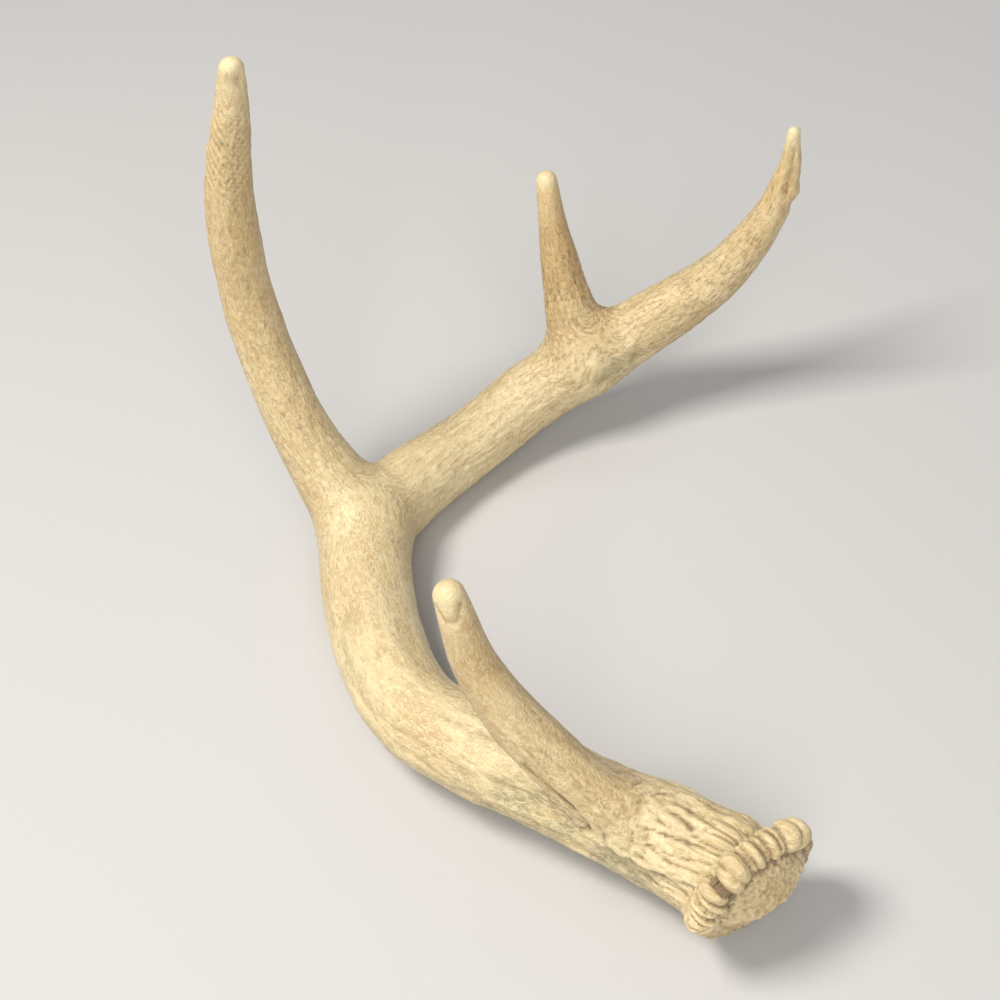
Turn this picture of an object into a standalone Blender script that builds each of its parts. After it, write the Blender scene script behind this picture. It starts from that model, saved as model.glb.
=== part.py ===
# A four-point white-tailed deer antler, lying as it does on a table.
# +Z is up, +X runs to the right and +Y to the back. The origin is on the table, under the
# middle of the antler. The bone is one piece, and it is sawn apart only at its main forks.

import bmesh
import bpy
import numpy as np
from mathutils import Matrix, Vector

MM = 0.001

# Each limb is walked from its foot. Every stretch has its length, its heading in degrees round
# from +X, its climb in degrees and the bone's radius at its end.
STRETCHES = {
    "main_beam": [
        (40, 155, 0, 14),
        (45, 155, 0, 14),
        (30, 145, -5, 14.5),
        (40, 120, -5, 15),
        (40, 105, 0, 15.5),
        (25, 70, -5, 14),
        (30, 50, 0, 12),
        (30, 40, 15, 12),
        (40, 25, 20, 11),
        (35, 15, 30, 8.5),
        (30, 10, 50, 6),
        (20, 20, 65, 4),
        (15, 25, 80, 2),
    ],
    "brow_tine": [
        (20, 175, 35, 8.5),
        (30, 165, 50, 8),
        (25, 155, 60, 6.5),
        (25, 130, 75, 4.5),
    ],
    "second_tine": [
        (15, 135, 30, 12.5),
        (30, 140, 55, 10),
        (40, 125, 65, 9),
        (40, 80, 80, 8),
        (35, 20, 75, 5.5),
        (15, 0, 75, 4),
    ],
    "third_tine": [
        (25, 115, 65, 8),
        (25, 110, 75, 5),
        (17, 100, 75, 3.5),
    ],
}
FOOT_RADIUS = {"main_beam": 15.5, "brow_tine": 9, "second_tine": 12, "third_tine": 11}

# The foot of the beam, and how far along the beam and above its middle each tine starts
BEAM_FOOT = (74, -101, 21.5)
FORKS = {"brow_tine": (20, 6), "second_tine": (195, 4), "third_tine": (300, 2)}

# How far the bone swells where a tine leaves the beam
FORK_WEB = 9.0

# The burr is the rough ring at the foot of the beam, and the seal is the domed face inside it.
BURR_CENTRE = (84, -106, 22)
BURR_RADIUS = 22.0
BURR_THICKNESS = 7.5
BURR_ROUNDING = 3.0
BURR_FACING = (0.70, -0.70, -0.13)
BURR_WEB = 5.0
SEAL_RADIUS = 27.0
SEAL_RISE = 6.0
SEAL_WEB = 1.5

# The mesh: the spacing of the points along a limb, the blank that is drawn onto the bone, how
# many times it is drawn and how finely each slope is measured, and the faces that are left
POINT_SPACING = 3.0
HEADING_STEP = 0.05
BALL_SUBDIVISIONS = 2
BLANK_VOXEL = 1.8
DRAWING_ROUNDS = 5
SLOPE_STEP = 0.01
LEAST_STEEPNESS = 0.2
FACES_IN_ALL = 6600
DISC_SIDES = 48
SHARP_EDGE = 0.7

# The saw cuts, each with its limb and how far along it
SAW_GAP = 0.3
SAW_MARGIN = 6.0
SAW_SIDES = 32
SAW_CUTS = [
    ("main_beam", 95),
    ("brow_tine", 42),
    ("second_tine", 45),
    ("main_beam", 245),
    ("third_tine", 22),
    ("main_beam", 320),
]

# A spot inside each piece after sawing: the limb and how far along it
PIECES = {
    "beam_lower": ("main_beam", 30),
    "brow_tine": ("brow_tine", 70),
    "beam_middle": ("main_beam", 150),
    "second_tine": ("second_tine", 110),
    "beam_upper": ("main_beam", 275),
    "third_tine": ("third_tine", 45),
    "beam_tip": ("main_beam", 360),
}

# Colour and roughness of the bone in each piece
BONE = {
    "beam_lower": ((0.60, 0.49, 0.33), 0.62),
    "brow_tine": ((0.52, 0.41, 0.26), 0.50),
    "beam_middle": ((0.58, 0.48, 0.31), 0.52),
    "second_tine": ((0.54, 0.43, 0.27), 0.55),
    "beam_upper": ((0.57, 0.46, 0.29), 0.55),
    "third_tine": ((0.42, 0.30, 0.16), 0.58),
    "beam_tip": ((0.48, 0.36, 0.20), 0.55),
}


def clear_scene():
    for thing in list(bpy.data.objects):
        bpy.data.objects.remove(thing, do_unlink=True)


def walk(name, foot):
    """The points along a limb's middle, each with the bone's radius there."""
    points = [(*foot, FOOT_RADIUS[name])]
    for length, heading, climb, radius in STRETCHES[name]:
        turn, rise = np.radians((heading, climb))
        level = length * np.cos(rise)
        step = (level * np.cos(turn), level * np.sin(turn), length * np.sin(rise))
        points.append((*np.add(points[-1][:3], step), radius))
    return points


def place_at(name, length):
    """Where the limb has been walked for that length, counted in its points."""
    walked = np.cumsum([0] + [stretch[0] for stretch in STRETCHES[name]])
    return float(np.interp(length, walked, range(len(walked))))


def point_on(limb, place):
    """The middle of the limb and its radius, on a smooth curve through the limb's points."""
    points = np.array(limb, dtype=float)
    ends = [2 * points[0] - points[1], *points, 2 * points[-1] - points[-2]]
    start = min(int(place), len(points) - 2)
    before, here, there, after = ends[start:start + 4]
    share = place - start
    leave = (there - before) / 2
    arrive = (after - here) / 2
    curve = here + share * leave
    curve += share ** 2 * (3 * (there - here) - 2 * leave - arrive)
    curve += share ** 3 * (2 * (here - there) + leave + arrive)
    return curve


def direction_on(limb, place):
    run = point_on(limb, place + HEADING_STEP)[:3] - point_on(limb, place - HEADING_STEP)[:3]
    return run / np.linalg.norm(run)


def dense_line(limb):
    """Points along the limb about POINT_SPACING apart."""
    line = []
    for start in range(len(limb) - 1):
        span = np.linalg.norm(np.subtract(limb[start + 1], limb[start])[:3])
        count = max(2, round(span / POINT_SPACING))
        line += [point_on(limb, start + step / count) for step in range(count)]
    line.append(point_on(limb, len(limb) - 1))
    return np.array(line)


def all_limbs():
    """The beam, and the tines that start on it."""
    limbs = {"main_beam": walk("main_beam", BEAM_FOOT)}
    for name, (length, above) in FORKS.items():
        x, y, height, _ = point_on(limbs["main_beam"], place_at("main_beam", length))
        limbs[name] = walk(name, (x, y, height + above))
    return limbs


LIMBS = all_limbs()
LINES = {name: dense_line(limb) for name, limb in LIMBS.items()}


def height_over_limb(spots, line):
    """How far each spot is outside the limb's skin, or inside it if negative."""
    nearest = np.full(len(spots), np.inf)
    for start, end in zip(line[:-1], line[1:]):
        run = end[:3] - start[:3]
        share = np.clip((spots - start[:3]) @ run / (run @ run), 0, 1)
        middle = start[:3] + share[:, None] * run
        radius = start[3] + share * (end[3] - start[3])
        nearest = np.minimum(nearest, np.linalg.norm(spots - middle, axis=1) - radius)
    return nearest


def height_over_burr(spots):
    """The same for the burr, a disc with rounded edges."""
    facing = np.array(BURR_FACING) / np.linalg.norm(BURR_FACING)
    offset = spots - np.array(BURR_CENTRE)
    along = offset @ facing
    across = np.linalg.norm(offset - along[:, None] * facing, axis=1)
    past_rim = across - (BURR_RADIUS - BURR_ROUNDING)
    past_face = np.abs(along) - (BURR_THICKNESS / 2 - BURR_ROUNDING)
    outside = np.hypot(np.maximum(past_rim, 0), np.maximum(past_face, 0))
    inside = np.minimum(np.maximum(past_rim, past_face), 0)
    return outside + inside - BURR_ROUNDING


def height_over_seal(spots):
    """The same for the seal, a slice of a ball that stands out of the burr."""
    facing = np.array(BURR_FACING) / np.linalg.norm(BURR_FACING)
    offset = spots - np.array(BURR_CENTRE)
    ball_centre = (BURR_THICKNESS / 2 + SEAL_RISE - SEAL_RADIUS) * facing
    ball = np.linalg.norm(offset - ball_centre, axis=1) - SEAL_RADIUS
    return np.maximum(ball, -(offset @ facing))


def blend(first, second, web):
    """Joins two skins with a rounded web between them."""
    share = np.maximum(web - np.abs(first - second), 0) / web
    return np.minimum(first, second) - share ** 2 * web / 4


def height_over_antler(spots):
    height = height_over_limb(spots, LINES["main_beam"])
    for name in ("brow_tine", "second_tine", "third_tine"):
        height = blend(height, height_over_limb(spots, LINES[name]), FORK_WEB)
    height = blend(height, height_over_burr(spots), BURR_WEB)
    return blend(height, height_over_seal(spots), SEAL_WEB)


def rough_blank():
    """Overlapping balls along every limb, remeshed into one skin."""
    mesh = bmesh.new()
    for line in LINES.values():
        for x, y, height, radius in line:
            place = Matrix.Translation((x, y, height))
            bmesh.ops.create_icosphere(
                mesh, subdivisions=BALL_SUBDIVISIONS, radius=radius, matrix=place,
            )
    x, y, height = BURR_CENTRE
    turn = Vector(BURR_FACING).to_track_quat("Z", "Y").to_matrix().to_4x4()
    place = Matrix.Translation((x, y, height)) @ turn
    bmesh.ops.create_cone(
        mesh, cap_ends=True, segments=DISC_SIDES, radius1=BURR_RADIUS, radius2=BURR_RADIUS,
        depth=BURR_THICKNESS, matrix=place,
    )
    in_front = Matrix.Translation((0, 0, (BURR_THICKNESS + SEAL_RISE) / 2))
    bmesh.ops.create_cone(
        mesh, cap_ends=True, segments=DISC_SIDES, radius1=BURR_RADIUS - BURR_ROUNDING,
        radius2=BURR_RADIUS / 2, depth=SEAL_RISE, matrix=place @ in_front,
    )
    blank = add_object("blank", mesh)
    remesh = blank.modifiers.new("skin", "REMESH")
    remesh.mode = "VOXEL"
    remesh.voxel_size = BLANK_VOXEL
    return applied(blank)


def add_object(name, mesh):
    data = bpy.data.meshes.new(name)
    mesh.to_mesh(data)
    mesh.free()
    thing = bpy.data.objects.new(name, data)
    bpy.context.scene.collection.objects.link(thing)
    return thing


def applied(thing):
    """Makes the object's modifiers part of its mesh."""
    bpy.context.view_layer.update()
    evaluated = thing.evaluated_get(bpy.context.evaluated_depsgraph_get())
    data = bpy.data.meshes.new_from_object(evaluated)
    thing.modifiers.clear()
    thing.data = data
    return thing


def draw_onto_bone(blank):
    """Moves every vertex of the blank onto the smooth skin of the antler, and down to the table."""
    spots = np.empty(len(blank.data.vertices) * 3)
    blank.data.vertices.foreach_get("co", spots)
    spots = spots.reshape(-1, 3)
    for _ in range(DRAWING_ROUNDS):
        height = height_over_antler(spots)
        rises = [height_over_antler(spots + SLOPE_STEP * axis) - height for axis in np.eye(3)]
        slope = np.stack(rises, axis=1) / SLOPE_STEP
        steepness = np.maximum((slope ** 2).sum(axis=1), LEAST_STEEPNESS)
        spots = spots - (height / steepness)[:, None] * slope
    blank.data.vertices.foreach_set("co", spots.ravel())
    blank.data.update()


def thin_out(blank):
    """Leaves about FACES_IN_ALL triangles."""
    triangulate = blank.modifiers.new("triangles", "TRIANGULATE")
    triangulate.quad_method = "SHORTEST_DIAGONAL"
    applied(blank)
    decimate = blank.modifiers.new("thin", "DECIMATE")
    decimate.ratio = FACES_IN_ALL / len(blank.data.polygons)
    applied(blank)


def rest_on_table(blank):
    """Flattens the few lowest spots where the antler touches the table."""
    for vertex in blank.data.vertices:
        vertex.co.z = max(vertex.co.z, 0.0)


def saw_apart(blank):
    """Cuts the bone across at each fork with a thin disc."""
    for number, (limb_name, length) in enumerate(SAW_CUTS):
        limb = LIMBS[limb_name]
        place = place_at(limb_name, length)
        x, y, height, radius = point_on(limb, place)
        turn = Vector(direction_on(limb, place)).to_track_quat("Z", "Y").to_matrix().to_4x4()
        mesh = bmesh.new()
        bmesh.ops.create_cone(
            mesh, cap_ends=True, segments=SAW_SIDES, radius1=radius + SAW_MARGIN,
            radius2=radius + SAW_MARGIN, depth=SAW_GAP,
            matrix=Matrix.Translation((x, y, height)) @ turn,
        )
        saw = add_object(f"saw_{number}", mesh)
        saw.hide_render = True
        saw.display_type = "WIRE"
        cut = blank.modifiers.new(saw.name, "BOOLEAN")
        cut.operation = "DIFFERENCE"
        cut.solver = "EXACT"
        cut.object = saw
    applied(blank)


def loose_bodies(blank):
    """The vertices of each separate body, as sets of indices."""
    mesh = bmesh.new()
    mesh.from_mesh(blank.data)
    left = set(mesh.verts)
    bodies = []
    while left:
        found = {left.pop()}
        edge_of_search = list(found)
        while edge_of_search:
            vertex = edge_of_search.pop()
            for edge in vertex.link_edges:
                other = edge.other_vert(vertex)
                if other not in found:
                    found.add(other)
                    edge_of_search.append(other)
        left -= found
        bodies.append({vertex.index for vertex in found})
    mesh.free()
    return bodies


def keep_body(blank, name, body):
    """A new object that holds only this body of the blank, in metres."""
    mesh = bmesh.new()
    mesh.from_mesh(blank.data)
    others = [vertex for vertex in mesh.verts if vertex.index not in body]
    bmesh.ops.delete(mesh, geom=others, context="VERTS")
    bmesh.ops.scale(mesh, vec=(MM, MM, MM), verts=mesh.verts)
    bmesh.ops.triangulate(mesh, faces=mesh.faces)
    piece = add_object(name, mesh)
    piece.data.shade_smooth()
    piece.data.set_sharp_from_angle(angle=SHARP_EDGE)
    return piece


def bone_material(name):
    colour, roughness = BONE[name]
    material = bpy.data.materials.new(f"bone_{name}")
    material.use_nodes = True
    shader = material.node_tree.nodes["Principled BSDF"]
    shader.inputs["Base Color"].default_value = (*colour, 1.0)
    shader.inputs["Roughness"].default_value = roughness
    shader.inputs["Metallic"].default_value = 0.0
    return material


def make_pieces(blank):
    spots = np.array([vertex.co for vertex in blank.data.vertices])
    bodies = loose_bodies(blank)
    for name, (limb_name, length) in PIECES.items():
        middle = point_on(LIMBS[limb_name], place_at(limb_name, length))[:3]
        nearest = int(np.argmin(np.linalg.norm(spots - middle, axis=1)))
        body = next(body for body in bodies if nearest in body)
        piece = keep_body(blank, name, body)
        piece.data.materials.append(bone_material(name))


def build():
    clear_scene()
    blank = rough_blank()
    draw_onto_bone(blank)
    thin_out(blank)
    rest_on_table(blank)
    saw_apart(blank)
    make_pieces(blank)
    for thing in list(bpy.data.objects):
        if thing.name not in PIECES:
            bpy.data.objects.remove(thing, do_unlink=True)


build()
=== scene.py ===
# A shed deer antler resting on a pale studio floor.
# The bone is one skin, remeshed from the sawn lengths of the frame and carved finer.
# The bone's sizes are in millimetres and are written to its mesh in metres. The studio's are
# in metres.
import math

import bmesh
import bpy
import numpy as np
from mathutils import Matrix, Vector, noise


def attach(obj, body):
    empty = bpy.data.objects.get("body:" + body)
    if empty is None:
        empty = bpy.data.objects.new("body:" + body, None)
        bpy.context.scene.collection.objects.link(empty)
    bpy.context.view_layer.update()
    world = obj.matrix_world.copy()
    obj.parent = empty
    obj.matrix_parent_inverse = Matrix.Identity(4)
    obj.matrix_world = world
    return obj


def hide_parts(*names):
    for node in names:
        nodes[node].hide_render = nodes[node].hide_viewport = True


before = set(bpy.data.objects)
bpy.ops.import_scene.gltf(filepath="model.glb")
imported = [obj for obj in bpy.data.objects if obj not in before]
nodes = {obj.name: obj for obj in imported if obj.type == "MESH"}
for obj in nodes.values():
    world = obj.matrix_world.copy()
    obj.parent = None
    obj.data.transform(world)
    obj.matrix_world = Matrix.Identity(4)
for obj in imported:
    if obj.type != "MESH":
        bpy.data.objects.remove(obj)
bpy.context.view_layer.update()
scene = bpy.context.scene
print("the frame is in")

# each limb is walked from its foot: its radius there, then for every stretch its length, its
# heading in degrees round from +X, its climb in degrees and the radius at its end
walks = {
    "beam": (15.5, [
        (40, 155, 0, 14), (45, 155, 0, 14), (30, 145, -5, 14.5), (40, 120, -5, 15),
        (40, 105, 0, 15.5), (25, 70, -5, 14), (30, 50, 0, 12), (30, 40, 15, 12),
        (40, 25, 20, 11), (35, 15, 30, 8.5), (30, 10, 50, 6), (20, 20, 65, 4), (15, 25, 80, 2),
    ]),
    "brow": (9, [(20, 175, 35, 8.5), (30, 165, 50, 8), (25, 155, 60, 6.5), (25, 130, 75, 4.5)]),
    "second": (12, [
        (15, 135, 30, 12.5), (30, 140, 55, 10), (40, 125, 65, 9), (40, 80, 80, 8),
        (35, 20, 75, 5.5), (15, 0, 75, 4),
    ]),
    "third": (11, [(25, 115, 65, 8), (25, 110, 75, 5), (17, 100, 75, 3.5)]),
}
beamFoot = (74, -101, 21.5)
# how far along the beam and above its middle each tine starts
forks = {"brow": (20, 6), "second": (195, 4), "third": (300, 2)}

bone = {
    "voxel": 1.02,
    "swell": 0.4,         # closes the saw gaps before the remesh
    "forkWeb": 9.0,
    "lineStep": 2.5,
    "grainWeb": 18.0,     # how softly the grain turns from the beam into a tine
}

burr = {
    "middle": (84, -106, 22),
    "facing": (0.70, -0.70, -0.13),
    "radius": 16.6,
    "thickness": 5.0,
    "rounding": 2.0,
    "web": 6.0,
    "sealTop": 8.8,       # how far the seal's dome stands out, and the radius of its ball
    "sealRadius": 21.5,
    "knuckleWeb": 0.45,
    "fineBelow": 15.0,    # the skin is twice as fine this far behind the burr's middle
    "skinReach": 40,      # how far from its middle the burr's own carving goes
    "blendReach": 45,     # and how far away its shape is still blended in
}
burrOut = np.array(burr["facing"]) / np.linalg.norm(burr["facing"])
burrUp = np.array((0, 0, 1)) - burrOut[2] * burrOut
burrUp /= np.linalg.norm(burrUp)
burrSide = np.cross(burrOut, burrUp)
# the knuckles of the burr: the place round it in degrees, how far out, half width,
# half length along the beam, half height, and how far it sits behind the middle
knuckles = [
    (-57, 18.0, 2.2, 3.6, 3.2, 0.8), (-46, 19.0, 3.5, 4.6, 4.3, -0.3), (-32, 19.2, 3.3, 4.9, 4.3, -0.6),
    (-20, 17.9, 2.0, 4.3, 3.3, 0.3), (-12, 18.6, 1.9, 4.5, 3.5, -0.2), (-4, 17.8, 1.7, 4.0, 3.1, 0.6),
    (4, 18.4, 1.9, 4.5, 3.5, 0.0), (11, 17.7, 1.4, 4.1, 3.1, 0.5), (22, 19.1, 3.0, 4.9, 4.4, 0.2),
    (32, 18.9, 2.7, 4.6, 4.1, -0.9), (39, 17.3, 1.4, 3.8, 2.7, 1.0), (50, 18.9, 2.5, 4.5, 4.1, 0.4),
    (59, 18.3, 1.7, 4.6, 3.7, -0.6), (66, 19.1, 1.9, 4.3, 3.9, 0.5), (74, 18.7, 2.0, 4.6, 3.7, -0.4),
    (84, 19.5, 2.9, 4.2, 4.3, 0.3),
]
# round the back they are plainer and alternate in size
backKnuckles = {
    "firstTurn": 95,
    "lastTurn": 300,
    "apart": 10.2,        # degrees from one to the next
    "reach": 18.1,
    "halfWidth": 2.3,
    "halfLength": 3.8,
    "halfHeight": 3.2,
    "behind": 1.4,
    "bigger": 0.25,       # every second one is this much bigger, the others smaller
}
backTurns = np.arange(backKnuckles["firstTurn"], backKnuckles["lastTurn"], backKnuckles["apart"])
for number, turn in enumerate(backTurns):
    bigger = backKnuckles["bigger"] if number % 2 else -backKnuckles["bigger"]
    unlike = noise.noise((number * 1.7, 0.5, 0.5))
    knuckles.append((
        turn + 2 * unlike,
        backKnuckles["reach"] + bigger + 0.4 * unlike,
        backKnuckles["halfWidth"] + bigger,
        backKnuckles["halfLength"] + 0.3 * unlike,
        backKnuckles["halfHeight"] + bigger,
        backKnuckles["behind"] + 0.5 * unlike,
    ))


def curveThrough(points, place):
    # a point and radius on the smooth curve through the limb's points
    points = np.array(points, dtype=float)
    ends = [2 * points[0] - points[1], *points, 2 * points[-1] - points[-2]]
    start = min(int(place), len(points) - 2)
    before, here, there, after = ends[start:start + 4]
    share = place - start
    leave = (there - before) / 2
    arrive = (after - here) / 2
    spot = here + share * leave
    spot += share ** 2 * (3 * (there - here) - 2 * leave - arrive)
    spot += share ** 3 * (2 * (here - there) + leave + arrive)
    return spot


def makeLine(points):
    line = []
    for start in range(len(points) - 1):
        span = math.dist(points[start + 1][:3], points[start][:3])
        count = max(2, round(span / bone["lineStep"]))
        line += [curveThrough(points, start + step / count) for step in range(count)]
    line.append(curveThrough(points, len(points) - 1))
    return np.array(line)


def makeAxes(line, firstAxis):
    # one axis across the limb at each point of its line, carried along without twist
    axis = np.array(firstAxis, dtype=float)
    axes = []
    for index in range(len(line)):
        ahead = line[min(index + 1, len(line) - 1), :3] - line[max(index - 1, 0), :3]
        ahead /= np.linalg.norm(ahead)
        axis = axis - (axis @ ahead) * ahead
        axis /= np.linalg.norm(axis)
        axes.append((axis, np.cross(ahead, axis)))
    return np.array(axes)


def walkLimb(name, foot):
    radius, stretches = walks[name]
    points = [(*foot, radius)]
    for length, heading, climb, radius in stretches:
        turn, rise = np.radians((heading, climb))
        level = length * np.cos(rise)
        step = (level * np.cos(turn), level * np.sin(turn), length * np.sin(rise))
        points.append((*np.add(points[-1][:3], step), radius))
    return points


def placeAlong(name, length):
    # where the limb has been walked for that length, counted in its points
    walked = np.cumsum([0] + [stretch[0] for stretch in walks[name][1]])
    return float(np.interp(length, walked, range(len(walked))))


limbs = {"beam": walkLimb("beam", beamFoot)}
for name, (length, above) in forks.items():
    foot = curveThrough(limbs["beam"], placeAlong("beam", length))[:3]
    limbs[name] = walkLimb(name, (foot[0], foot[1], foot[2] + above))
lines = {name: makeLine(points) for name, points in limbs.items()}
# which side of a limb its turns are counted from: the top of the beam, the front of a tine
firstSide = {"beam": (0, 0, 1), "brow": (0, -1, 0), "second": (0, -1, 0), "third": (0, -1, 0)}
sides = {name: makeAxes(lines[name], firstSide[name]) for name in lines}


def overLimb(spots, name):
    # height over the limb's skin, which way is out, and where along the line the spot is
    line = lines[name]
    height = np.full(len(spots), np.inf)
    out = np.zeros_like(spots)
    place = np.zeros(len(spots))
    for index in range(len(line) - 1):
        run = line[index + 1, :3] - line[index, :3]
        share = np.clip((spots - line[index, :3]) @ run / (run @ run), 0, 1)
        offset = spots - line[index, :3] - share[:, None] * run
        away = np.maximum(np.sqrt((offset ** 2).sum(axis=1)), 1e-6)
        here = away - line[index, 3] - share * (line[index + 1, 3] - line[index, 3])
        nearer = here < height
        height[nearer] = here[nearer]
        out[nearer] = offset[nearer] / away[nearer, None]
        place[nearer] = index + share[nearer]
    return height, out, place


def blend(first, second, web):
    # joins two skins, each a height and which way is out, with a rounded web
    apart = first[0] - second[0]
    share = np.maximum(web - np.abs(apart), 0) / web
    height = np.minimum(first[0], second[0]) - share ** 2 * web / 4
    weight = np.where(apart < 0, 1 - share / 2, share / 2)[:, None]
    return height, weight * first[1] + (1 - weight) * second[1]


def inBurr(spots):
    # the spot in the burr's own directions: side, up and out
    offset = spots - np.array(burr["middle"])
    return np.stack((offset @ burrSide, offset @ burrUp, offset @ burrOut), axis=1)


def fromBurr(local):
    return local[:, :1] * burrSide + local[:, 1:2] * burrUp + local[:, 2:] * burrOut


def overDisc(local):
    across = np.maximum(np.hypot(local[:, 0], local[:, 1]), 1e-6)
    rim = across - (burr["radius"] - burr["rounding"])
    face = np.abs(local[:, 2]) - (burr["thickness"] / 2 - burr["rounding"])
    past = np.hypot(np.maximum(rim, 0), np.maximum(face, 0))
    height = past + np.minimum(np.maximum(rim, face), 0) - burr["rounding"]
    rimPart = np.where(past > 0, np.maximum(rim, 0), rim > face)
    facePart = np.where(past > 0, np.maximum(face, 0), rim <= face)
    long = np.maximum(np.hypot(rimPart, facePart), 1e-6)
    out = np.stack((
        local[:, 0] / across * rimPart, local[:, 1] / across * rimPart,
        np.sign(local[:, 2]) * facePart,
    ), axis=1) / long[:, None]
    return height, out


def overSeal(local):
    middle = np.array((0, 0, burr["sealTop"] - burr["sealRadius"]))
    offset = local - middle
    away = np.linalg.norm(offset, axis=1)
    height = np.maximum(away - burr["sealRadius"], -local[:, 2])
    return height, offset / away[:, None]


def overKnuckle(local, knuckle):
    turn, reach, wide, deep, high, behind = knuckle
    angle = math.radians(turn)
    side, up = math.sin(angle), math.cos(angle)
    offset = local - np.array((side * reach, up * reach, -behind))
    # round, up and out of the ring, in the knuckle's own directions
    across = offset[:, 0] * up - offset[:, 1] * side
    radial = offset[:, 0] * side + offset[:, 1] * up
    scaled = np.stack((across / wide, radial / high, offset[:, 2] / deep), axis=1)
    size = np.maximum(np.linalg.norm(scaled, axis=1), 1e-6)
    slope = scaled / (wide, high, deep)
    steep = np.maximum(np.linalg.norm(slope, axis=1), 1e-6)
    height = size * (size - 1) / steep
    slope /= steep[:, None]
    out = np.stack((
        slope[:, 0] * up + slope[:, 1] * side, slope[:, 1] * up - slope[:, 0] * side, slope[:, 2],
    ), axis=1)
    return height, out


def overBurr(spots):
    local = inBurr(spots)
    skin = blend(overDisc(local), overSeal(local), 1.0)
    for knuckle in knuckles:
        skin = blend(skin, overKnuckle(local, knuckle), burr["knuckleWeb"])
    return skin[0], fromBurr(skin[1])


def overAntler(spots):
    skin = overLimb(spots, "beam")[:2]
    for name in ("brow", "second", "third"):
        skin = blend(skin, overLimb(spots, name)[:2], bone["forkWeb"])
    close = np.linalg.norm(spots - np.array(burr["middle"]), axis=1) < burr["blendReach"]
    part = blend((skin[0][close], skin[1][close]), overBurr(spots[close]), burr["web"])
    skin[0][close], skin[1][close] = part
    return skin


def readSpots(piece):
    spots = np.empty(len(piece.data.vertices) * 3)
    piece.data.vertices.foreach_get("co", spots)
    return spots.reshape(-1, 3) * 1000


def writeSpots(piece, spots):
    piece.data.vertices.foreach_set("co", (spots / 1000).ravel())
    piece.data.update()


def readNormals(piece):
    normals = np.empty(len(piece.data.vertices) * 3)
    piece.data.vertices.foreach_get("normal", normals)
    return normals.reshape(-1, 3)


def deselect():
    bpy.ops.object.select_all(action="DESELECT")


def pickOnly(piece):
    deselect()
    piece.select_set(True)
    bpy.context.view_layer.objects.active = piece


def makeBlank():
    # all the sawn lengths in one mesh, swollen until they touch, with the knuckles on the burr
    mesh = bmesh.new()
    for name in sorted(nodes):
        mesh.from_mesh(nodes[name].data)
    bmesh.ops.remove_doubles(mesh, verts=mesh.verts, dist=0.00001)
    mesh.normal_update()
    for vertex in mesh.verts:
        vertex.co += vertex.normal * bone["swell"] / 1000
    data = bpy.data.meshes.new("antler")
    mesh.to_mesh(data)
    mesh.free()
    piece = bpy.data.objects.new("antler", data)
    scene.collection.objects.link(piece)
    deselect()
    parts = [piece]
    for turn, reach, wide, deep, high, behind in knuckles:
        angle = math.radians(turn)
        radial = math.sin(angle) * burrSide + math.cos(angle) * burrUp
        across = np.cross(burrOut, radial)
        spot = np.array(burr["middle"]) + reach * radial - behind * burrOut
        bpy.ops.mesh.primitive_ico_sphere_add(subdivisions=3, radius=0.001)
        knob = bpy.context.active_object
        for vertex in knob.data.vertices:
            x, y, z = vertex.co
            place = spot / 1000 + x * wide * across + y * high * radial + z * deep * burrOut
            vertex.co = place
        parts.append(knob)
    pickOnly(piece)
    for part in parts:
        part.select_set(True)
    bpy.ops.object.join()
    remesh = piece.modifiers.new("skin", "REMESH")
    remesh.mode = "VOXEL"
    remesh.voxel_size = bone["voxel"] / 1000
    bpy.ops.object.modifier_apply(modifier=remesh.name)
    return piece


def refineBurr(piece):
    # one more subdivision where the skin is most broken
    spots = readSpots(piece)
    local = inBurr(spots)
    inReach = np.linalg.norm(local, axis=1) < burr["skinReach"]
    close = inReach & (local[:, 2] > -burr["fineBelow"])
    mesh = bmesh.new()
    mesh.from_mesh(piece.data)
    mesh.verts.ensure_lookup_table()
    edges = [edge for edge in mesh.edges if all(close[vertex.index] for vertex in edge.verts)]
    bmesh.ops.subdivide_edges(mesh, edges=edges, cuts=1, use_grid_fill=True)
    mesh.to_mesh(piece.data)
    mesh.free()


def drawOn(piece, rounds):
    spots = readSpots(piece)
    for _ in range(rounds):
        height, out = overAntler(spots)
        steep = np.maximum((out ** 2).sum(axis=1), 0.3)
        step = np.clip(height / steep, -1.5, 1.5)
        spots = spots - step[:, None] * out
    writeSpots(piece, spots)


def relax(piece, factor, rounds):
    pickOnly(piece)
    smooth = piece.modifiers.new("relax", "SMOOTH")
    smooth.factor = factor
    smooth.iterations = rounds
    bpy.ops.object.modifier_apply(modifier=smooth.name)


antler = makeBlank()
print("blank:", len(antler.data.vertices))
drawOn(antler, 3)
refineBurr(antler)
relax(antler, 0.5, 2)
drawOn(antler, 4)
print("the skin is drawn:", len(antler.data.vertices))


def lengthAlong(name, place):
    line = lines[name]
    steps = np.linalg.norm(np.diff(line[:, :3], axis=0), axis=1)
    reached = np.concatenate(([0], np.cumsum(steps)))
    return np.interp(place, np.arange(len(line)), reached)


def headingOf(line, index):
    ahead = line[index + 1, :3] - line[index, :3]
    return Vector(ahead / np.linalg.norm(ahead))


def straighten(spots, name, place, axes, start):
    # the spot in the straightened limb: across, across and along
    line = lines[name]
    index = np.minimum(place.astype(int), len(line) - 2)
    share = (place - index)[:, None]
    middle = line[index, :3] + share * (line[index + 1, :3] - line[index, :3])
    first = axes[index, 0] + share * (axes[index + 1, 0] - axes[index, 0])
    second = axes[index, 1] + share * (axes[index + 1, 1] - axes[index, 1])
    offset = spots - middle
    along = lengthAlong(name, place) + start
    return np.stack(((offset * first).sum(axis=1), (offset * second).sum(axis=1), along), axis=1)


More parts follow.
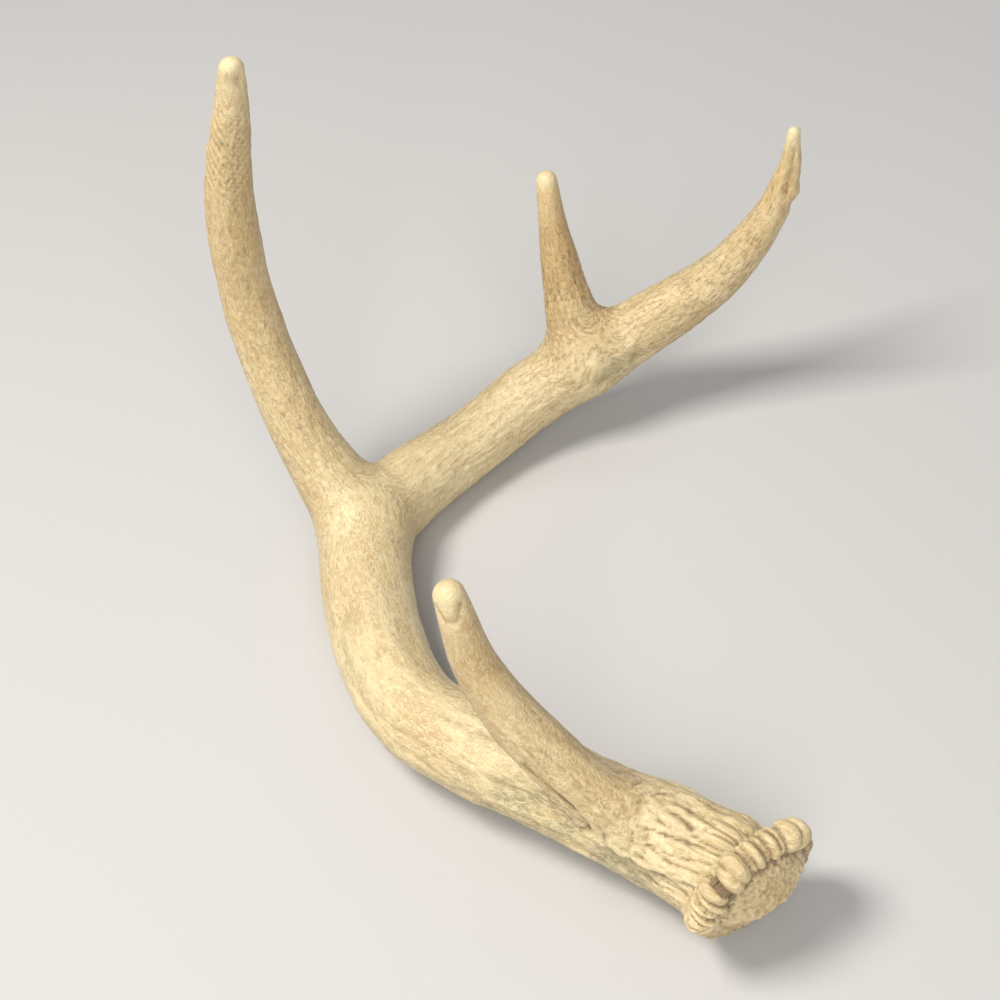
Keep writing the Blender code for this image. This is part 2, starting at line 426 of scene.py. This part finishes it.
def grainOf(spots):
    # the grain turns softly from the beam into each tine, and each limb has its share of a spot
    found = {name: overLimb(spots, name) for name in limbs}
    beamAxes = sides["beam"]
    beamLengths = lengthAlong("beam", np.arange(len(lines["beam"])))
    grain = np.zeros_like(spots)
    whole = np.zeros(len(spots))
    shares = {}
    for name in limbs:
        height, _, place = found[name]
        others = np.min([found[other][0] for other in limbs if other != name], axis=0)
        share = np.clip((others - height) / bone["grainWeb"] + 0.5, 0, 1)
        share = share * share * (3 - 2 * share)
        start = forks.get(name, (0, 0))[0]
        axes = beamAxes
        if name != "beam":
            leaves = int(np.searchsorted(beamLengths, start))
            turn = headingOf(lines["beam"], leaves).rotation_difference(headingOf(lines[name], 0))
            axes = makeAxes(lines[name], turn @ Vector(beamAxes[leaves, 0]))
        grain += share[:, None] * straighten(spots, name, place, axes, start)
        whole += share
        shares[name] = (share, lengthAlong(name, place))
    heights = {name: found[name][0] for name in limbs}
    return grain / whole[:, None], shares, heights


def noiseOver(points, size, stretch=1.0, shift=0.0):
    scaled = points / (size, size, size * stretch) + (shift, shift * 0.7, -shift)
    return np.array([noise.noise(Vector(point)) for point in scaled])


def near(spots, middle, reach):
    # 1 at the middle, falling softly to 0
    return np.exp(-((spots - np.array(middle)) ** 2).sum(axis=1) / reach ** 2)


# how the bone changes along each limb: millimetres from its foot, then the amount there
character = {
    "beam": {
        "furrow": ((0, 1.25), (30, 1.15), (60, 0.8), (95, 0.4), (130, 0.12), (190, 0.06)),
        "ripple": ((0, 0.25), (120, 0.08), (170, 0.06), (215, 0.16), (240, 0.26), (300, 0.2), (420, 0.12)),
        "brown": ((0, 0.25), (60, 0.25), (150, 0.1), (200, 0.08), (300, 0.25), (400, 0.5), (415, 0.2)),
        "speckle": ((0, 0.2), (120, 0.3), (200, 0.45), (300, 0.55), (350, 0.85), (405, 0.6), (418, 0)),
        "orange": ((0, 0.2), (200, 0.1), (350, 0.25), (390, 0.4), (403, 1), (415, 0.7), (420, 0)),
        "pale": ((0, 0.2), (180, 0.3), (240, 0.5), (300, 0.15), (400, 0), (415, 0), (420, 1)),
    },
    "brow": {
        "furrow": ((0, 0.4), (25, 0.55), (50, 0.3), (70, 0.08), (85, 0.02)),
        "ripple": ((0, 0.3), (40, 0.12), (60, 0.05), (100, 0.02)),
        "brown": ((0, 0.25), (40, 0.25), (80, 0.3), (97, 0.2)),
        "speckle": ((0, 0.3), (50, 0.25), (92, 0.15), (98, 0)),
        "orange": ((0, 0.25), (40, 0.55), (90, 0.7), (100, 0.4)),
        "pale": ((0, 0.2), (50, 0), (96, 0), (100, 0.4)),
    },
    "second": {
        "furrow": ((0, 0.05), (175, 0.03)),
        "ripple": ((0, 0.12), (60, 0.14), (120, 0.12), (150, 0.2), (168, 0.2), (175, 0.1)),
        "brown": ((0, 0.12), (60, 0.22), (110, 0.25), (150, 0.15), (172, 0.05)),
        "speckle": ((0, 0.45), (60, 0.55), (120, 0.5), (160, 0.35), (175, 0)),
        "orange": ((0, 0.1), (60, 0.4), (110, 0.65), (160, 0.65), (175, 0.3)),
        "pale": ((0, 0.3), (60, 0.15), (140, 0.1), (172, 0.1), (175, 0.5)),
    },
    "third": {
        "furrow": ((0, 0.05), (67, 0.02)),
        "ripple": ((0, 0.16), (30, 0.14), (50, 0.05), (67, 0)),
        "brown": ((0, 0.35), (25, 0.5), (45, 0.35), (60, 0.15)),
        "speckle": ((0, 0.7), (25, 1), (45, 0.8), (58, 0.25), (66, 0)),
        "orange": ((0, 0.2), (20, 0.55), (45, 1), (64, 1), (67, 0.4)),
        "pale": ((0, 0.1), (30, 0), (65, 0), (67, 0.5)),
    },
}


def amountOf(kind, shares):
    amount, whole = 0, 0
    for name, (share, along) in shares.items():
        here, values = zip(*character[name][kind])
        amount = amount + share * np.interp(along, here, values)
        whole = whole + share
    return amount / whole


# marks of its own on the bone: the limb, how far along it, the turn round it in degrees, how
# far the mark reaches, and its depth (or height if positive)
marks = {
    "bendDimple": ("beam", 150, -35, 4.2, -1.2),
    "bendDimpleLip": ("beam", 158, -35, 4.5, 0.7),
    "bendHump": ("beam", 140, -20, 6.0, 0.6),
    "scar": ("beam", 305, 95, 3.8, -1.8),
    "scarMiddle": ("beam", 312, 90, 3.0, -0.7),
    "scarEnd": ("beam", 319, 95, 3.0, -1.4),
    "scarLip": ("beam", 306, 65, 3.2, 0.6),
    "scarLipEnd": ("beam", 318, 65, 3.0, 0.5),
    "browPit": ("beam", 40, -60, 3.0, -0.6),
    "secondPit": ("second", 150, 10, 1.6, -0.5),
    "secondNick": ("second", 150, -60, 1.8, -0.6),
    "secondNickLip": ("second", 145, -60, 2.4, 0.4),
    "tipHook": ("beam", 401, 150, 2.4, 1.1),
    "tipNotch": ("beam", 396, 150, 1.9, -0.8),
    "beamSwell": ("beam", 355, 90, 5.0, 0.5),
    "secondSlope": ("second", 174, 70, 3.0, -1.5),
}
# thin creases: the limb, (how far along it, turn round it) at each point, width and depth
creases = {
    "browSmile": ("brow", [(99, -40), (95, -10), (95, 30), (99, 60)], 1.0, 0.7),
    "crotchLeft": ("brow", [(50, -40), (38, -40), (28, -35), (18, -30)], 1.3, 1.3),
    "crotchMiddle": ("brow", [(45, -10), (35, -10), (25, -10)], 1.0, 0.9),
    "bendLine": ("beam", [(145, -55), (120, -55), (95, -60), (75, -65)], 2.6, 0.7),
    "tipScoop": ("beam", [(401, 85), (408, 85), (416, 85)], 1.7, 1.0),
}
# the ragged ledge from the brow tine's foot towards the burr, and the smooth gully under it
ledge = ("beam", [(58, -30), (48, -40), (36, -50), (24, -58), (12, -64), (2, -70)])
ledgeFacing = (-0.2, -0.95, 0.2)
ledgeSize = {
    "reach": 13,          # nothing further than this from its line is carved
    "lipHeight": 2.0,
    "lipSoftness": 5.0,
    "stepDepth": 2.3,
    "stepSoftness": 4.0,
    "scallop": 1.5,
}
gully = ("beam", [(66, -55), (52, -66), (38, -76), (24, -84), (12, -90)])


def spotOn(name, along, turn):
    # the spot on the skin so far along the limb, turned round it towards its right
    places = np.arange(len(lines[name]))
    place = np.interp(along, lengthAlong(name, places), places)
    middle = np.array([np.interp(place, places, lines[name][:, part]) for part in range(4)])
    first, second = sides[name][int(place)]
    out = first * math.cos(math.radians(turn)) + second * math.sin(math.radians(turn))
    spots = (middle[:3] + middle[3] * out)[None]
    for _ in range(6):
        height, slope = overAntler(spots)
        spots = spots - (height / np.maximum((slope ** 2).sum(axis=1), 0.3))[:, None] * slope
    return tuple(spots[0])


def pathOn(name, points):
    return [spotOn(name, along, turn) for along, turn in points]


def alongPath(spots, path):
    # the nearest spot on the path: its offset, its heading and how far along it is
    path = np.array(path, dtype=float)
    away = np.full(len(spots), np.inf)
    offset = np.zeros_like(spots)
    heading = np.zeros_like(spots)
    along = np.zeros(len(spots))
    reached = 0.0
    for start, end in zip(path[:-1], path[1:]):
        run = end - start
        long = np.linalg.norm(run)
        share = np.clip((spots - start) @ run / long ** 2, 0, 1)
        here = spots - start - share[:, None] * run
        distance = np.linalg.norm(here, axis=1)
        nearer = distance < away
        away[nearer] = distance[nearer]
        offset[nearer] = here[nearer]
        heading[nearer] = run / long
        along[nearer] = (reached + share * long)[nearer]
        reached += long
    return away, offset, heading, along, reached


def carveLedge(spots, normals):
    away, offset, heading, along, whole = alongPath(spots, pathOn(*ledge))
    above = np.cross(heading, normals)
    above *= np.sign(above[:, 2:3] + 1e-9)
    up = (offset * above).sum(axis=1)
    scallop = ledgeSize["scallop"] * np.abs(np.sin(along / 2.6 + 0.8 * np.sin(along / 5.1))) - 0.6
    scallop = scallop + 0.7 * noiseOver(spots, 2.4, 1, 83)
    up = up + scallop
    ends = np.clip(along / 8, 0, 1) * np.clip((whole - along) / 14, 0.25, 1)
    ends = ends * np.clip((normals @ np.array(ledgeFacing)) * 3, 0, 1)
    inReach = away < ledgeSize["reach"]
    top = np.clip(up / 0.9, -1, 1)
    raised = ledgeSize["lipHeight"] * np.exp(-up / ledgeSize["lipSoftness"])
    sunk = -ledgeSize["stepDepth"] * np.exp(up / ledgeSize["stepSoftness"])
    lip = np.where(up > 0, raised, sunk)
    return np.where(inReach, ends * np.abs(top) * lip, 0)


def cavityOf(piece, rounds):
    # how far each spot lies below the softened skin, in millimetres
    soft = piece.copy()
    soft.data = piece.data.copy()
    scene.collection.objects.link(soft)
    relax(soft, 0.5, rounds)
    lift = ((readSpots(soft) - readSpots(piece)) * readNormals(piece)).sum(axis=1)
    bpy.data.objects.remove(soft, do_unlink=True)
    return lift


def paint(piece, name, amounts):
    layer = piece.data.attributes.new(name, "FLOAT", "POINT")
    layer.data.foreach_set("value", amounts)


# the carving: for each kind of noise its size across the grain in millimetres and how much
# longer it is along it, then the half width of a groove in it where it has one
carving = {
    "stray": (10, 2.0),
    "strayBy": 1.5,       # how far the furrows stray from the grain
    "wideGroove": (7.5, 8.0, 0.12),
    "fineGroove": (3.4, 6.0, 0.15),
    "lump": (4.2, 2.6),
    "longWave": (8.5, 12.0),
    "longWaveHeight": 0.75,
    "ripple": (2.3, 5.5, 0.15),
    "gullyWidth": 5.5,
    "gullyDepth": 2.2,
    "chevronWave": 1.9,   # radians of the wave for each millimetre of height
    "chevronHeight": 0.2,
    "crotchWidth": 3.2,
    "crotchReach": 20,
    "crotchDepth": 0.9,
}


def grooveIn(waves, width):
    # 1 along the lines where the noise crosses nothing, falling to 0 beside them
    return np.exp(-(waves / width) ** 2)


def carve(piece):
    spots = readSpots(piece)
    normals = readNormals(piece)
    grain, shares, heights = grainOf(spots)
    local = inBurr(spots)
    atBurr = np.clip((local[:, 2] + 5.5) / 3, 0, 1)
    atBurr = atBurr * (np.linalg.norm(local, axis=1) < burr["skinReach"])
    furrow = amountOf("furrow", shares) * (1 - atBurr)
    ripple = amountOf("ripple", shares) * (1 - atBurr)

    wander = grain.copy()
    wander[:, 0] += carving["strayBy"] * noiseOver(grain, *carving["stray"], 3)
    wander[:, 1] += carving["strayBy"] * noiseOver(grain, *carving["stray"], 7)
    size, stretch, width = carving["wideGroove"]
    grooves = -grooveIn(noiseOver(wander, size, stretch, 11), width)
    size, stretch, width = carving["fineGroove"]
    fineGrooves = -grooveIn(noiseOver(wander, size, stretch, 23), width)
    lumps = noiseOver(grain, *carving["lump"], 31)
    # the furrows run further along the underside of the beam
    under = np.clip((14 - spots[:, 2]) / 10, 0, 1) * shares["beam"][0]
    under *= np.interp(shares["beam"][1], (40, 90, 160, 185), (0, 1, 0.6, 0))
    furrow = np.maximum(furrow, 0.75 * under)
    away, _, _, along, whole = alongPath(spots, pathOn(*gully))
    inGully = grooveIn(away, carving["gullyWidth"]) * np.clip((whole - along) / 14, 0, 1)
    furrow = furrow * (1 - 0.85 * inGully)
    relief = furrow * (0.85 * grooves + 0.5 * fineGrooves + 0.5 * lumps + 0.5)
    relief -= carving["gullyDepth"] * inGully
    longWaves = carving["longWaveHeight"] * noiseOver(grain, *carving["longWave"], 37)
    relief += longWaves * np.interp(shares["beam"][1], (60, 90, 150, 185), (0.2, 1, 1, 0))

    size, stretch, width = carving["ripple"]
    waves = noiseOver(wander, size, stretch, 41)
    relief += ripple * (1.4 * grooveIn(waves, width) - 0.5)
    relief += 0.4 * noiseOver(spots, 15, 1, 51)

    # the chevrons under the second tine's tip
    tine = lines["second"]
    lean = np.abs(spots[:, 0] - np.interp(spots[:, 2], tine[:, 2], tine[:, 0]))
    chevron = np.sin((spots[:, 2] - 1.3 * lean) * carving["chevronWave"])
    chevron *= np.clip(-normals[:, 1] * 1.5, 0, 1)
    chevron *= np.interp(shares["second"][1], (125, 138, 160, 168), (0, 1, 1, 0)) * shares["second"][0]
    relief += carving["chevronHeight"] * chevron

    # wrinkles where the brow tine leaves the beam
    crotch = grooveIn(heights["beam"] - heights["brow"], carving["crotchWidth"])
    crotch *= near(spots, spotOn("brow", 25, -30), carving["crotchReach"])
    relief -= carving["crotchDepth"] * crotch * grooveIn(noiseOver(wander, 3.6, 3.0, 91), 0.16)

    for name, along, turn, reach, depth in marks.values():
        relief += depth * near(spots, spotOn(name, along, turn), reach)
    for name, points, width, depth in creases.values():
        relief -= depth * grooveIn(alongPath(spots, pathOn(name, points))[0], width)
    relief += carveLedge(spots, normals)

    # the granular seal, and worn knuckles
    across = np.hypot(local[:, 0], local[:, 1])
    onSeal = np.clip((local[:, 2] - 2.0) / 1.5, 0, 1) * np.clip((16.5 - across) / 1.5, 0, 1)
    onSeal = onSeal * (atBurr > 0)
    grains = noiseOver(spots, 1.3, 1, 61) + 0.7 * noiseOver(spots, 3.2, 1, 67)
    wobble = local[:, 1] - 1.2 * noiseOver(local, 6.0, 1, 73)
    relief += onSeal * (1.2 * np.exp(-((wobble - 2) / 2.2) ** 2) - np.clip(-wobble / 3, 0, 1))
    relief += onSeal * 0.65 * grains + 0.2 * atBurr * (1 - onSeal) * noiseOver(spots, 1.8, 1, 71)

    spots = spots + relief[:, None] * normals
    spots[:, 2] = np.maximum(spots[:, 2], 0)
    writeSpots(piece, spots)

    # painted shade: the skin is coloured darker in its hollows, found against a softened copy of it, and
    # in the gap at the foot of the burr's knuckles
    small = cavityOf(piece, 6)
    broad = cavityOf(piece, 30)
    knuckleGapShade = np.clip((3.3 - np.hypot(across - 18.3, local[:, 2] + 0.3)) / 1.3, 0, 1)
    knuckleGapShade *= (across < 24) * (np.abs(local[:, 2]) < 6) * (local[:, 2] > -3.5)
    shadedHollow = np.clip(small / 0.22, 0, 1) * 0.6 + np.clip(broad / 0.7, 0, 1) * 0.6
    paint(piece, "shadedHollow", np.clip(np.maximum(shadedHollow, knuckleGapShade), 0, 1))
    # painted highlight: the crests of the skin, where it stands above its softened copy, are coloured
    # lighter
    paint(piece, "litCrest", np.clip(-small / 0.2, 0, 1) * 0.5 + np.clip(-broad / 0.7, 0, 1) * 0.5)
    for kind in ("brown", "speckle", "orange", "pale"):
        paint(piece, kind, np.clip(amountOf(kind, shares), 0, 1))
    # painted shade in greenish grey: in the gully under the ledge, in the scar's hollow and along the
    # lower front of the beam near the burr
    greenShade = inGully + 0.8 * near(spots, spotOn("beam", 312, 90), 8)
    for along, amount in ((20, 0.7), (40, 0.7), (70, 0.5)):
        greenShade += amount * near(spots, spotOn("beam", along, -95), 13)
    paint(piece, "greenShade", np.clip(greenShade, 0, 1))
    # the seal is tanned all over, and painted shade darkens it more towards its lower side
    paint(piece, "sealTanAndShade", onSeal * np.clip(0.25 + 0.75 * (1 - wobble) / 2, 0.25, 1))
    fibre = np.interp(shares["beam"][1], (205, 235, 300, 340), (0, 1, 1, 0.3)) * shares["beam"][0]
    paint(piece, "fibre", np.clip(fibre, 0, 1))
    layer = piece.data.attributes.new("grain", "FLOAT_VECTOR", "POINT")
    layer.data.foreach_set("vector", grain.ravel())


carve(antler)
print("the skin is carved")


finish = {
    "cream": (0.57, 0.42, 0.2),
    "light": (0.78, 0.655, 0.39),
    "tan": (0.405, 0.262, 0.108),
    "brown": (0.20, 0.118, 0.047),
    "rust": (0.47, 0.265, 0.075),
    # the dark of the bone's pits, also used as the deepest painted shade in the hollows
    "pitAndShade": (0.125, 0.075, 0.034),
    # the greenish grey of the painted shade in the gully, the scar and the lower front of the beam
    "shadeGreen": (0.26, 0.24, 0.125),
    "roughness": 0.44,
    "ior": 1.5,
    "bumpStrength": 0.5,
    "bumpDepth": 0.0003,  # metres
}


def makeBone():
    material = bpy.data.materials.new("bone")
    material.use_nodes = True
    tree = material.node_tree
    shader = tree.nodes["Principled BSDF"]

    def add(kind, **settings):
        made = tree.nodes.new(kind)
        for key, value in settings.items():
            setattr(made, key, value)
        return made

    def wire(source, target):
        tree.links.new(source, target)

    def attribute(name, output="Fac"):
        return add("ShaderNodeAttribute", attribute_name=name).outputs[output]

    def combine(operation, first, second, clamp=False):
        made = add("ShaderNodeMath", operation=operation, use_clamp=clamp)
        for socket, value in zip(made.inputs, (first, second)):
            if isinstance(value, (int, float)):
                socket.default_value = value
            else:
                wire(value, socket)
        return made.outputs[0]

    def ramp(value, low, high):
        made = add("ShaderNodeMapRange", interpolation_type="SMOOTHSTEP")
        wire(value, made.inputs["Value"])
        made.inputs["From Min"].default_value = low
        made.inputs["From Max"].default_value = high
        return made.outputs["Result"]

    def scaled(source, size, stretch, shift):
        made = add("ShaderNodeMapping")
        wire(source, made.inputs["Vector"])
        made.inputs["Scale"].default_value = (1 / size, 1 / size, 1 / size / stretch)
        made.inputs["Location"].default_value = (shift, shift * 0.7, -shift)
        return made.outputs["Vector"]

    def noiseOn(source, size, stretch=1.0, shift=0.0, detail=2.0, distortion=0.0):
        made = add("ShaderNodeTexNoise")
        wire(scaled(source, size, stretch, shift), made.inputs["Vector"])
        made.inputs["Scale"].default_value = 1.0
        made.inputs["Detail"].default_value = detail
        made.inputs["Distortion"].default_value = distortion
        return made.outputs["Fac"]

    def ridge(value, width):
        # 1 along the lines where the noise crosses its middle
        away = combine("ABSOLUTE", combine("SUBTRACT", value, 0.5), 0.0)
        return combine("SUBTRACT", 1.0, ramp(away, 0.0, width))

    def mix(amount, first, second):
        made = add("ShaderNodeMix", data_type="RGBA")
        wire(amount, made.inputs["Factor"])
        for socket, value in ((made.inputs[6], first), (made.inputs[7], second)):
            if isinstance(value, tuple):
                socket.default_value = (*value, 1)
            else:
                wire(value, socket)
        return made.outputs[2]

    def blendOf(amount, first, second):
        made = add("ShaderNodeMix", data_type="FLOAT")
        for socket, value in zip(made.inputs, (amount, None, first, second)):
            if value is not None:
                wire(value, socket)
        return made.outputs[0]

    grain = attribute("grain", "Vector")
    speckle = attribute("speckle")
    brown = attribute("brown")
    orange = attribute("orange")
    pale = attribute("pale")
    shadedHollow = attribute("shadedHollow")
    litCrest = attribute("litCrest")
    greenShade = attribute("greenShade")
    sealTanAndShade = attribute("sealTanAndShade")

    # broad patches, thin worm-like strands, small dashes and dots, all along the grain
    patches = noiseOn(grain, 16, 2.2, 5, 3)
    clouds = noiseOn(grain, 5.0, 2.0, 19, 3, 0.6)
    worms = combine("MAXIMUM", ridge(noiseOn(grain, 1.9, 2.1, 9, 1, 1.0), 0.07),
                    ridge(noiseOn(grain, 2.3, 2.6, 33, 1, 1.2), 0.05))
    fibres = combine("MAXIMUM", ridge(noiseOn(grain, 1.8, 6.0, 9, 1, 0.5), 0.08),
                     ridge(noiseOn(grain, 2.6, 5.0, 39, 1, 0.7), 0.05))
    strand = blendOf(attribute("fibre"), worms, fibres)
    dots = noiseOn(grain, 1.15, 1.8, 15, 1.5, 0.4)
    dot = ramp(dots, 0.53, 0.66)
    dashes = noiseOn(grain, 0.75, 3.2, 27, 1.0, 0.5)
    dash = ramp(dashes, 0.56, 0.68)

    colour = mix(ramp(patches, 0.35, 0.65), finish["cream"], finish["light"])
    evenTan = combine("MULTIPLY", brown, 0.7)
    cloudyTan = combine("MULTIPLY", ramp(clouds, 0.42, 0.66), 0.5)
    tanAmount = combine("ADD", evenTan, cloudyTan, True)
    colour = mix(tanAmount, colour, finish["tan"])
    colour = mix(combine("MULTIPLY", orange, 0.6), colour, finish["rust"])
    # painted shade: greenish grey in patches where that mask lies
    colour = mix(combine("MULTIPLY", greenShade, ramp(clouds, 0.3, 0.65)), colour, finish["shadeGreen"])
    quiet = combine("ADD", combine("MULTIPLY", orange, 0.5), combine("MULTIPLY", speckle, 0.3))
    worm = combine("MULTIPLY", strand, combine("SUBTRACT", 0.85, quiet, True))
    colour = mix(worm, colour, finish["light"])
    colour = mix(combine("MULTIPLY", combine("MULTIPLY", dot, speckle), 0.62), colour, finish["brown"])
    colour = mix(combine("MULTIPLY", combine("MULTIPLY", dash, speckle), 0.6), colour, finish["pitAndShade"])
    # the seal's own tan, deepened towards its lower side as painted shade
    colour = mix(combine("MULTIPLY", sealTanAndShade, ramp(clouds, 0.1, 0.6)), colour, finish["tan"])
    # painted shade: brown in the hollows and the gap round the knuckles, near black in the deepest of them
    colour = mix(combine("MULTIPLY", shadedHollow, 0.85, True), colour, finish["brown"])
    colour = mix(combine("MULTIPLY", ramp(shadedHollow, 0.5, 1.0), 0.6), colour, finish["pitAndShade"])
    # painted highlight: lighter on the crests of the skin
    colour = mix(combine("MULTIPLY", litCrest, 0.55, True), colour, finish["light"])
    colour = mix(combine("MULTIPLY", pale, 0.6), colour, finish["light"])
    wire(colour, shader.inputs["Base Color"])

    shine = combine("ADD", finish["roughness"] - 0.08, combine("MULTIPLY", clouds, 0.16))
    wire(shine, shader.inputs["Roughness"])

    bump = add("ShaderNodeBump")
    bump.inputs["Strength"].default_value = finish["bumpStrength"]
    bump.inputs["Distance"].default_value = finish["bumpDepth"]
    height = combine("SUBTRACT", combine("MULTIPLY", strand, 0.6), combine("MULTIPLY", dot, 0.6))
    height = combine("SUBTRACT", height, combine("MULTIPLY", dash, 0.5))
    wire(height, bump.inputs["Height"])
    wire(bump.outputs["Normal"], shader.inputs["Normal"])
    shader.inputs["IOR"].default_value = finish["ior"]
    return material


antler.data.materials.clear()
antler.data.materials.append(makeBone())
pickOnly(antler)
bpy.ops.object.mode_set(mode="EDIT")
bpy.ops.mesh.select_all(action="SELECT")
bpy.ops.mesh.quads_convert_to_tris()
bpy.ops.object.mode_set(mode="OBJECT")
bpy.ops.object.shade_smooth()
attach(antler, "root")
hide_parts(*sorted(nodes))
print("the bone is finished:", len(antler.data.polygons), "faces")

studio = {
    "floor": (0.52, 0.515, 0.505),
    "floorSize": 8,
    "floorRoughness": 0.7,
    "sky": (0.93, 0.95, 1.0),
    "skyStrength": 0.36,
    # place, size, power and colour of each soft light
    "lights": {
        "keyLight": ((-0.45, -0.1, 1.05), 0.4, 12.0, (1.0, 0.96, 0.9)),
        "frontLight": ((0.3, -0.95, 0.8), 0.8, 9.0, (1.0, 0.98, 0.96)),
    },
    "eye": (0.1303, -0.3895, 0.49),
    "pitch": 39.0,
    "target": (0.0, 0.0, 0.062),
    "lens": 69.0,
    "sensor": 36,
}

deselect()
bpy.ops.mesh.primitive_plane_add(size=studio["floorSize"], location=(0, 0, 0))
floor = bpy.context.active_object
floor.name = "floor"
paper = bpy.data.materials.new("paper")
paper.use_nodes = True
paperShader = paper.node_tree.nodes["Principled BSDF"]
paperShader.inputs["Base Color"].default_value = (*studio["floor"], 1)
paperShader.inputs["Roughness"].default_value = studio["floorRoughness"]
floor.data.materials.append(paper)

world = bpy.data.worlds.new("studio")
scene.world = world
world.use_nodes = True
sky = world.node_tree.nodes["Background"]
sky.inputs["Color"].default_value = (*studio["sky"], 1)
sky.inputs["Strength"].default_value = studio["skyStrength"]

for name, (place, size, power, tint) in studio["lights"].items():
    bpy.ops.object.light_add(type="AREA", location=place)
    lamp = bpy.context.active_object
    lamp.name = name
    lamp.data.size = size
    lamp.data.energy = power
    lamp.data.color = tint
    lamp.rotation_euler = (-Vector(place)).to_track_quat("-Z", "Y").to_euler()

# the camera leans from a look straight ahead and down to its target by the shortest turn
eye = Vector(studio["eye"])
bpy.ops.object.camera_add(location=eye)
camera = bpy.context.active_object
camera.name = "camera"
camera.data.lens = studio["lens"]
camera.data.sensor_width = studio["sensor"]
tilt = math.radians(studio["pitch"])
ahead = Vector((0, math.cos(tilt), -math.sin(tilt)))
lean = ahead.rotation_difference(Vector(studio["target"]) - eye)
camera.rotation_euler = (lean @ ahead.to_track_quat("-Z", "Y")).to_euler()
scene.camera = camera
scene.view_settings.view_transform = "Standard"
print("the studio is lit")
